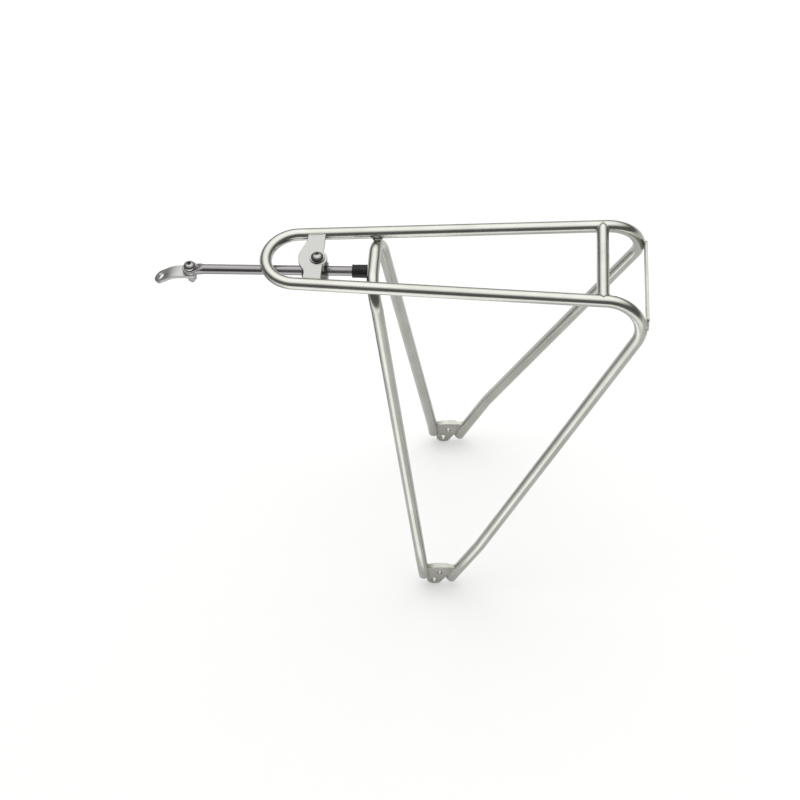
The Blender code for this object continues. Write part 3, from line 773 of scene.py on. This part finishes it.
def rim_outline():
    front_end = FOOT_ARC_ENDS[1]
    outer = arc(FOOT_ARC_CENTRE, FOOT_ARC_RADIUS, RIM_REAR_END, front_end, 32)
    inner = arc(FOOT_ARC_CENTRE, FOOT_ARC_RADIUS - RIM_HEIGHT, front_end, RIM_REAR_END, 32)
    return outer + inner


def add_foot(word, side, looks):
    middle = side * FOOT_Y
    base = extruded_mesh("foot", foot_outline(), middle - FOOT_THICKNESS / 2, FOOT_THICKNESS, side_view)
    rim = extruded_mesh("rim", rim_outline(), middle - RIM_THICKNESS / 2, RIM_THICKNESS, side_view)
    start, depth = middle - RIM_THICKNESS, 2 * RIM_THICKNESS
    eyelet = drill((0.0, 0.0), EYELET_HOLE_RADIUS, start, depth, side_view)
    upper = drill(UPPER_HOLE, UPPER_HOLE_RADIUS, start, depth, side_view)
    node = word + "_foot_plate"
    mesh = shaped_mesh(node + "_fine", base, [rim], [eyelet, upper])
    add_piece(node + "_fine", mesh, looks["foot"], "frame", node)
    add_foot_welds(word, side, looks)


def add_foot_welds(word, side, looks):
    """Beads where both faces of the plate run into the legs."""
    rear = (REAR_KINK - REAR_LEG_END).normalized()
    front = (FRONT_KINK - FRONT_LEG_END).normalized()
    seams = (
        ("rear", REAR_LEG_END, rear, Vector((-rear.z, 0, rear.x)), REAR_FOOT_WELD),
        ("front", FRONT_LEG_END, front, Vector((front.z, 0, -front.x)), FRONT_FOOT_WELD),
    )
    for label, end, direction, inward, (first, last) in seams:
        for face, face_word in ((-1, "inner"), (1, "outer")):
            drop = face * FOOT_THICKNESS / 2
            reach = math.sqrt(TUBE_RADIUS**2 - drop**2)
            line = []
            for i in range(BEAD_STEPS + 1):
                distance = (first + (last - first) * i / BEAD_STEPS) * MM
                point = end + direction * distance + inward * reach
                line.append(Vector((point.x, side * (FOOT_Y + drop), point.z)))
            name = f"{word}_{label}_{face_word}_foot_weld"
            add_bead(name, line, looks["weld"], "frame", FOOT_BEAD)


def add_light_plate(looks):
    low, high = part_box("light_plate")
    radius = LIGHT_CORNER_RADIUS
    corners = (
        (high.y - radius, low.z + radius, -90), (high.y - radius, high.z - radius, 0),
        (low.y + radius, high.z - radius, 90), (low.y + radius, low.z + radius, 180),
    )
    outline = []
    for y, z, start in corners:
        outline += arc((y, z), radius, start, start + 90, 16)
    base = extruded_mesh("light", outline, low.x, high.x - low.x, rear_view)
    middle_z = (low.z + high.z) / 2
    holes = []
    for side in (-1, 1):
        centre = (side * LIGHT_HOLE_SPACING / 2, middle_z)
        holes.append(drill(centre, LIGHT_HOLE_RADIUS, low.x - MM, high.x - low.x + 2 * MM, rear_view))
    mesh = shaped_mesh("light_plate_fine", base, cuts=holes)
    add_piece("light_plate_fine", mesh, looks["foot"], "frame", "light_plate")
    bend = max(main_tube_half(), key=lambda p: p.x)
    for side, word in ((-1, "left"), (1, "right")):
        for edge, edge_word in ((-1, "inner"), (1, "outer")):
            y = side * (bend.y + edge * LIGHT_WELD_OFFSET)
            x = bend.x + math.sqrt(TUBE_RADIUS**2 - LIGHT_WELD_OFFSET**2) - LIGHT_BEAD_SINK
            line = [Vector((x, y, bend.z + dz * MM)) for dz in (-4, -2, 0, 2, 4)]
            add_bead(f"{word}_{edge_word}_light_weld", line, looks["weld"], "frame", LIGHT_BEAD)


# ---------------------------------------------------------------- stay clamp


def clamp_outline():
    half = CLAMP_HALF_WIDTH
    nose = arc(CLAMP_NOSE, CLAMP_NOSE_RADIUS, *CLAMP_NOSE_ARC, 28)
    reach = math.degrees(math.acos((CLAMP_REAR_X - CLAMP_BOLT_X) / CLAMP_LOBE_RADIUS))
    lobe = arc((CLAMP_BOLT_X, CLAMP_BOLT_Y), CLAMP_LOBE_RADIUS, -reach, reach, 32)
    near_end = [(CLAMP_FRONT_X, CLAMP_SHOULDERS[1]), (CLAMP_FRONT_X, -half), (CLAMP_REAR_X, -half)]
    far_end = [(CLAMP_REAR_X, half), (CLAMP_FRONT_X, half), (CLAMP_FRONT_X, CLAMP_SHOULDERS[0])]
    return nose + near_end + lobe + far_end


def add_clamp_plate(looks):
    start = CLAMP_PLATE_TOP - CLAMP_PLATE_THICKNESS
    base = extruded_mesh("clamp", clamp_outline(), start, CLAMP_PLATE_THICKNESS, plan_view)
    hole = drill((CLAMP_BOLT_X, CLAMP_BOLT_Y), CLAMP_HOLE_RADIUS, start - MM, 6 * MM, plan_view)
    mesh = shaped_mesh("clamp_plate_fine", base, cuts=[hole])
    add_piece("clamp_plate_fine", mesh, looks["plate"], "frame", "clamp_plate")
    rise = CLAMP_PLATE_TOP - DECK_Z
    reach = math.sqrt(TUBE_RADIUS**2 - rise**2)
    for side, word in ((-1, "left"), (1, "right")):
        line = []
        for i in range(9):
            share = CLAMP_WELD_MARGIN + (1 - 2 * CLAMP_WELD_MARGIN) * i / 8
            x = CLAMP_FRONT_X + (CLAMP_REAR_X - CLAMP_FRONT_X) * share
            line.append(Vector((x, side * (rail_half_width(x) - reach), CLAMP_PLATE_TOP - BEAD_SINK)))
        add_bead(word + "_clamp_plate_weld", line, looks["weld"], "frame", CLAMP_PLATE_BEAD)


def add_barrel(looks):
    length = BARREL_REAR_X - BARREL_FRONT_X
    base = extruded_mesh("barrel", disc((0.0, ROD_Z), BARREL_RADIUS), BARREL_FRONT_X, length, rear_view)
    top = CLAMP_PLATE_TOP - CLAMP_PLATE_THICKNESS
    half = BARREL_NECK_WIDTH / 2
    outline = [(-half, ROD_Z), (half, ROD_Z), (half, top), (-half, top)]
    neck_front = BARREL_FRONT_X + BARREL_NECK_SETBACK
    neck = extruded_mesh("neck", outline, neck_front, length - BARREL_NECK_SHORTENING, rear_view)
    bore = drill((0.0, ROD_Z), ROD_RADIUS + CLEARANCE, BARREL_FRONT_X - MM, length + 2 * MM, rear_view)
    mesh = shaped_mesh("clamp_barrel_fine", base, [neck], [bore], edge=BARREL_EDGE)
    add_piece("clamp_barrel_fine", mesh, looks["barrel"], "frame", "clamp_barrel")


def add_bolt(node, body, shank_radius, head_height, looks):
    """A domed socket-head bolt in the place of its CAD node, head up, with a threaded shank."""
    low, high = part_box(node)
    head_radius = (high.x - low.x) / 2
    centre = (low + high) / 2
    seat = high.z - head_height
    thread = [(low.z, 0.0), (low.z, shank_radius * THREAD_TIP_SHARE)]
    turns = int((seat - low.z) / THREAD_PITCH) - 1
    for i in range(turns):
        thread.append((low.z + (i + 0.25) * THREAD_PITCH, shank_radius * THREAD_ROOT_SHARE))
        thread.append((low.z + (i + 0.75) * THREAD_PITCH, shank_radius))
    crown = min(DOME_HEIGHT, head_height - 2 * BOLT_EDGE)
    head = [(seat, shank_radius), (seat, head_radius - BOLT_EDGE), (seat + BOLT_EDGE, head_radius)]
    sphere = (head_radius**2 + crown**2) / (2 * crown)
    widest = math.asin(head_radius / sphere)
    for i in range(DOME_STEPS):
        a = widest * (1 - i / DOME_STEPS)
        head.append((high.z - sphere * (1 - math.cos(a)), sphere * math.sin(a)))
    profile = thread + head + [(high.z, 0.0)]
    place = Vector((centre.x, centre.y, 0.0))
    base = turned_mesh("bolt", profile, place, (0, 0, 1))
    hexagon = disc((centre.x, centre.y), head_radius * SOCKET_SHARE, 6)
    socket = extruded_mesh("socket", hexagon, seat + head_height / 2, SOCKET_LENGTH, plan_view)
    mesh = shaped_mesh(node + "_fine", base, cuts=[socket], edge=SOCKET_EDGE)
    add_piece(node + "_fine", mesh, looks["bright"], body, node)


def add_washer(node, body, hole_radius, looks):
    low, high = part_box(node)
    outer = (high.x - low.x) / 2
    ease = WASHER_EDGE
    thick = high.z - low.z
    profile = [
        (0.0, hole_radius), (0.0, outer - ease), (ease, outer), (thick - ease, outer),
        (thick, outer - ease), (thick, hole_radius),
    ]
    place = Vector(((low.x + high.x) / 2, (low.y + high.y) / 2, low.z))
    mesh = turned_mesh(node + "_fine", profile, place, (0, 0, 1))
    add_piece(node + "_fine", mesh, looks["bright"], body, node)


# ---------------------------------------------------------------- stay


def flattened_section(x, half_width, half_height, squareness, z):
    """A superellipse across the rod: round where squareness is 2, flat-sided where it is larger."""
    points = []
    power = 2 / squareness
    for i in range(FINE_SIDES):
        a = math.tau * i / FINE_SIDES
        u = math.copysign(abs(math.cos(a)) ** power, math.cos(a))
        v = math.copysign(abs(math.sin(a)) ** power, math.sin(a))
        points.append(Vector((x, half_width * u, z + half_height * v)))
    return points


def rod_sections():
    """From the rod's rear end forward: round, then forged flat into a round eye."""
    sections = []
    for back, trim in ROD_END_ROUNDING:
        radius = ROD_RADIUS - trim * MM
        sections.append((ROD_REAR_X - back * MM, radius, radius, 2.0))
    steps = 30
    for i in range(steps + 1):
        x = ROD_REAR_X - MM + (ROD_ROUND_END_X - ROD_REAR_X + MM) * i / steps
        sections.append((x, ROD_RADIUS, ROD_RADIUS, 2.0))
    flat = EYE_THICKNESS / 2
    neck_x = EYE_X + EYE_RADIUS * EYE_NECK_SHARE
    neck_width = math.sqrt(EYE_RADIUS**2 - (neck_x - EYE_X) ** 2)
    for i in range(1, 21):
        share = i / 20
        ease = share * share * (3 - 2 * share)
        x = ROD_ROUND_END_X + (neck_x - ROD_ROUND_END_X) * share
        width = ROD_RADIUS + (neck_width - ROD_RADIUS) * ease
        height = ROD_RADIUS + (flat - ROD_RADIUS) * ease
        sections.append((x, width, height, 2 + (EYE_SQUARENESS - 2) * ease))
    start = math.acos((neck_x - EYE_X) / EYE_RADIUS)
    for i in range(1, 40):
        a = start + (math.pi - start) * i / 40
        sections.append((EYE_X + EYE_RADIUS * math.cos(a), EYE_RADIUS * math.sin(a), flat, EYE_SQUARENESS))
    return sections


def lofted_mesh(name, sections):
    bm = bmesh.new()
    rings = [[bm.verts.new(point) for point in section] for section in sections]
    count = len(rings[0])
    for first, second in zip(rings, rings[1:]):
        for i in range(count):
            j = (i + 1) % count
            bm.faces.new((first[i], first[j], second[j], second[i]))
    bm.faces.new(rings[0])
    bm.faces.new(rings[-1])
    return mesh_from(bm, name, 50)


def add_rod(looks):
    sections = [flattened_section(x, w, h, s, ROD_Z) for x, w, h, s in rod_sections()]
    base = lofted_mesh("rod", sections)
    hole = drill((EYE_X, 0.0), PIVOT_THREAD_RADIUS + CLEARANCE, EYE_Z - 4 * MM, 8 * MM, plan_view)
    mesh = shaped_mesh("stay_rod_fine", base, cuts=[hole], edge=0)
    mesh.set_sharp_from_angle(angle=math.radians(50))
    add_piece("stay_rod_fine", mesh, looks["rod"], "rod", "stay_rod")


def add_cap(looks):
    """A rubber cap with a rolled lip at its mouth and a soft round end."""
    low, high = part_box("rod_end_cap")
    depth = high.x - low.x
    bore = ROD_RADIUS + CAP_CLEARANCE
    lip = CAP_LIP_RADIUS
    neck = CAP_RADIUS - CAP_GROOVE_DEPTH
    profile = [(0.0, bore), (CAP_MOUTH[0], bore + CAP_MOUTH[1])]
    for degrees in range(0, 91, 15):
        a = math.radians(degrees)
        profile.append((lip - lip * math.cos(a), CAP_RADIUS - lip + lip * math.sin(a)))
    profile += zip(CAP_GROOVE_PLACES, (CAP_RADIUS, neck, neck, CAP_RADIUS - CAP_TAPER))
    soft = CAP_END_RADIUS
    for i in range(9):
        a = math.radians(90 * i / 8)
        profile.append((depth - soft + soft * math.sin(a), CAP_RADIUS - soft + soft * math.cos(a)))
    inside = depth - CAP_END_THICKNESS
    profile += [(depth, 0.0), (inside, 0.0), (inside, bore)]
    place = Vector((low.x, 0.0, ROD_Z))
    mesh = turned_mesh("rod_end_cap_fine", profile, place, (1, 0, 0))
    add_piece("rod_end_cap_fine", mesh, looks["rubber"], "rod_cap", "rod_end_cap")


def strap_height():
    low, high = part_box("stay_strap")
    return high.z - STRAP_THICKNESS / 2


def strap_point(s):
    """Along the strap's middle line: place and normal at a distance from the pivot."""
    flat, radius, angle = STRAP_FLAT_LENGTH, STRAP_BEND_RADIUS, STRAP_BEND_ANGLE
    bend = radius * angle
    if s < flat:
        ahead, down, slope = s, 0.0, 0.0
    elif s < flat + bend:
        slope = (s - flat) / radius
        ahead, down = flat + radius * math.sin(slope), radius * (1 - math.cos(slope))
    else:
        slope = angle
        rest = s - flat - bend
        ahead = flat + radius * math.sin(angle) + rest * math.cos(angle)
        down = radius * (1 - math.cos(angle)) + rest * math.sin(angle)
    middle = Vector((EYE_X - ahead, 0.0, strap_height() - down))
    return middle, Vector((-math.sin(slope), 0.0, math.cos(slope)))


def add_strap(looks):
    """A strip with round ends and eased edges, bent down towards its tip."""
    half = STRAP_WIDTH / 2
    length = STRAP_FLAT_LENGTH + STRAP_BEND_RADIUS * STRAP_BEND_ANGLE + STRAP_TIP_LENGTH
    stations = []
    for i in range(1, 25):
        stations.append(-half * math.cos(math.radians(90 * i / 25)))
    stations += [length * i / 40 for i in range(41)]
    for i in range(1, 25):
        stations.append(length + half * math.sin(math.radians(90 * i / 25)))
    sections = []
    for s in stations:
        over = -s if s < 0 else max(0.0, s - length)
        width = math.sqrt(max(0.0, half**2 - over**2))
        sections.append(strap_section(s, width))
    base = lofted_mesh("strap", sections)
    tip, normal = strap_point(length)
    root, up = strap_point(0.0)
    thick = STRAP_THICKNESS + 2 * MM
    holes = [
        turned_mesh("hole", rod_profile(PIVOT_THREAD_RADIUS + CLEARANCE, thick), root, up),
        turned_mesh("hole", rod_profile(STRAP_HOLE_RADIUS, thick), tip, normal),
    ]
    mesh = shaped_mesh("stay_strap_fine", base, cuts=holes, edge=0)
    mesh.set_sharp_from_angle(angle=math.radians(50))
    add_piece("stay_strap_fine", mesh, looks["plate"], "strap", "stay_strap")


def rod_profile(radius, length):
    return [(-length / 2, 0.0), (-length / 2, radius), (length / 2, radius), (length / 2, 0.0)]


def strap_section(s, width):
    """A flat rectangle with eased corners, across the strap."""
    middle, normal = strap_point(s)
    ease = min(STRAP_EDGE, width / 2)
    tall = STRAP_THICKNESS / 2
    corners = ((1, 1, 0), (-1, 1, 90), (-1, -1, 180), (1, -1, 270))
    points = []
    for side, top, start in corners:
        centre_y = side * (width - ease)
        centre_n = top * (tall - ease)
        for y, n in arc((centre_y, centre_n), ease, start, start + 90, 4):
            points.append(middle + Vector((0, y, 0)) + normal * n)
    return points


def add_nut(looks):
    """A hexagon nut with chamfered corners."""
    low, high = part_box("pivot_nut")
    across = NUT_ACROSS_FLATS / 2 / math.cos(math.radians(30))
    tall = high.z - low.z
    base = extruded_mesh("nut", disc((EYE_X, 0.0), across, 6), low.z, tall, plan_view)
    hole = drill((EYE_X, 0.0), PIVOT_THREAD_RADIUS + NUT_CLEARANCE, low.z - MM, tall + 2 * MM, plan_view)
    mesh = shaped_mesh("pivot_nut_fine", base, cuts=[hole], edge=NUT_EDGE)
    add_piece("pivot_nut_fine", mesh, looks["bright"], "rod", "pivot_nut")


# ---------------------------------------------------------------- stage


def add_floor():
    low = cad_box[0]
    bm = bmesh.new()
    bmesh.ops.create_grid(bm, x_segments=2, y_segments=2, size=FLOOR_SIZE)
    mesh = mesh_from(bm, "floor")
    floor = bpy.data.objects.new("floor", mesh)
    bpy.context.scene.collection.objects.link(floor)
    floor.location = (0.0, 0.0, low[2])
    look = Look("pale_floor", (0.35, 0.35, 0.347), 0.9, 0.0)
    look.shader.inputs["Specular IOR Level"].default_value = 0.0
    look.shader.inputs["Emission Color"].default_value = (1.0, 1.0, 0.99, 1.0)
    look.shader.inputs["Emission Strength"].default_value = FLOOR_GLOW
    mesh.materials.append(look.material)


def add_glow(name, mesh, brightness):
    """A stage piece that shines evenly and casts no light or shadow on the rest."""
    piece = bpy.data.objects.new(name, mesh)
    bpy.context.scene.collection.objects.link(piece)
    look = Look(name, (0.0, 0.0, 0.0), 1.0, 0.0)
    look.shader.inputs["Specular IOR Level"].default_value = 0.0
    look.shader.inputs["Emission Color"].default_value = (brightness, brightness, brightness, 1.0)
    look.shader.inputs["Emission Strength"].default_value = 1.0
    mesh.materials.append(look.material)
    piece.visible_diffuse = False
    piece.visible_shadow = False
    piece.visible_transmission = False
    return piece


def add_card(name, corners, brightness):
    """A flat reflector on the floor, which only the metal's reflections pick up."""
    bm = bmesh.new()
    height = cad_box[0][2] + CARD_LIFT
    bm.faces.new([bm.verts.new((x, y, height)) for x, y in corners])
    card = add_glow(name, mesh_from(bm, name), brightness)
    card.visible_camera = False


def add_backdrop():
    """A round white wall far behind everything, which the metal doesn't reflect."""
    bm = bmesh.new()
    bmesh.ops.create_cone(
        bm, segments=64, radius1=WALL_RADIUS, radius2=WALL_RADIUS, depth=WALL_HEIGHT, cap_ends=False
    )
    wall = add_glow("backdrop", mesh_from(bm, "backdrop"), WALL_GLOW)
    wall.visible_glossy = False


def add_softbox(name, place, size, power):
    """A large square lamp that faces the middle of the rack."""
    light = bpy.data.lights.new(name, "AREA")
    light.shape = "SQUARE"
    light.size = size
    light.energy = power
    lamp = bpy.data.objects.new(name, light)
    bpy.context.scene.collection.objects.link(lamp)
    lamp.location = place
    lamp.visible_camera = False
    lamp.visible_glossy = False
    lamp.rotation_euler = (Vector(place) - LAMP_AIM).to_track_quat("Z", "Y").to_euler()


def light_room():
    """A bright band overhead that fades towards the sides, a lamp above, and cards near the feet."""
    world = bpy.data.worlds.new("studio")
    bpy.context.scene.world = world
    world.use_nodes = True
    nodes = world.node_tree.nodes
    links = world.node_tree.links
    source = nodes.new("ShaderNodeTexCoord")
    facing = nodes.new("ShaderNodeVectorMath")
    facing.operation = "DOT_PRODUCT"
    facing.inputs[1].default_value = SKY_AXIS
    ramp = nodes.new("ShaderNodeValToRGB")
    ramp.color_ramp.elements[0].position = SKY_STOPS[0]
    ramp.color_ramp.elements[0].color = (SKY_EDGE, SKY_EDGE, SKY_EDGE, 1.0)
    ramp.color_ramp.elements[1].position = SKY_STOPS[1]
    ramp.color_ramp.elements[1].color = (1.0, 1.0, 1.0, 1.0)
    links.new(source.outputs["Generated"], facing.inputs[0])
    links.new(facing.outputs["Value"], ramp.inputs["Fac"])
    links.new(ramp.outputs["Color"], nodes["Background"].inputs["Color"])
    nodes["Background"].inputs["Strength"].default_value = SKY_GLOW
    add_softbox("overhead", LAMP_PLACE, LAMP_SIZE, LAMP_POWER)
    add_card("wide_card", WIDE_CARD, CARD_GLOW)
    add_card("foot_card", FOOT_CARD, FOOT_CARD_GLOW)
    add_card("dark_card", DARK_CARD, DARK_CARD_GLOW)


def add_camera():
    azimuth, elevation, roll = CAMERA_AZIMUTH, CAMERA_ELEVATION, CAMERA_ROLL
    back = Vector((
        math.sin(azimuth) * math.cos(elevation),
        -math.cos(azimuth) * math.cos(elevation),
        math.sin(elevation),
    ))
    level = Vector((math.cos(azimuth), math.sin(azimuth), 0.0))
    up = back.cross(level)
    right = level * math.cos(roll) + up * math.sin(roll)
    up = up * math.cos(roll) - level * math.sin(roll)
    data = bpy.data.cameras.new("camera")
    data.sensor_width = CAMERA_SENSOR
    data.lens = CAMERA_LENS
    data.shift_x, data.shift_y = CAMERA_SHIFT
    camera = bpy.data.objects.new("camera", data)
    bpy.context.scene.collection.objects.link(camera)
    place = CAMERA_AIM + back * CAMERA_DISTANCE
    rows = [(right[i], up[i], back[i], place[i]) for i in range(3)]
    camera.matrix_world = Matrix((*rows, (0.0, 0.0, 0.0, 1.0)))
    bpy.context.scene.camera = camera


# ---------------------------------------------------------------- the whole scene


def build():
    looks = {
        "tube": brushed_tube_look(),
        "weld": weld_look(),
        "plate": plate_look(),
        "foot": foot_look(),
        "rod": rod_look(),
        "bright": bright_look(),
        "barrel": painted_shade_barrel_look(),
        "rubber": rubber_look(),
    }
    add_camera()
    add_tube("main_tube", both_sides(main_tube_half()), looks)
    add_tube("front_leg_arch", both_sides(arch_half()), looks)
    add_cross_tube(looks)
    add_arch_welds(looks)
    add_foot("left", -1, looks)
    add_foot("right", 1, looks)
    add_light_plate(looks)
    add_clamp_plate(looks)
    add_barrel(looks)
    add_bolt("clamp_bolt", "frame", CLAMP_THREAD_RADIUS, CLAMP_HEAD_HEIGHT, looks)
    add_washer("clamp_washer", "frame", CLAMP_WASHER_HOLE, looks)
    add_rod(looks)
    add_cap(looks)
    add_strap(looks)
    add_bolt("pivot_bolt", "rod", PIVOT_THREAD_RADIUS, PIVOT_HEAD_HEIGHT, looks)
    add_washer("pivot_washer", "rod", PIVOT_WASHER_HOLE, looks)
    add_nut(looks)
    add_floor()
    add_backdrop()
    light_room()


build()
bpy.context.scene.view_settings.view_transform = "Standard"
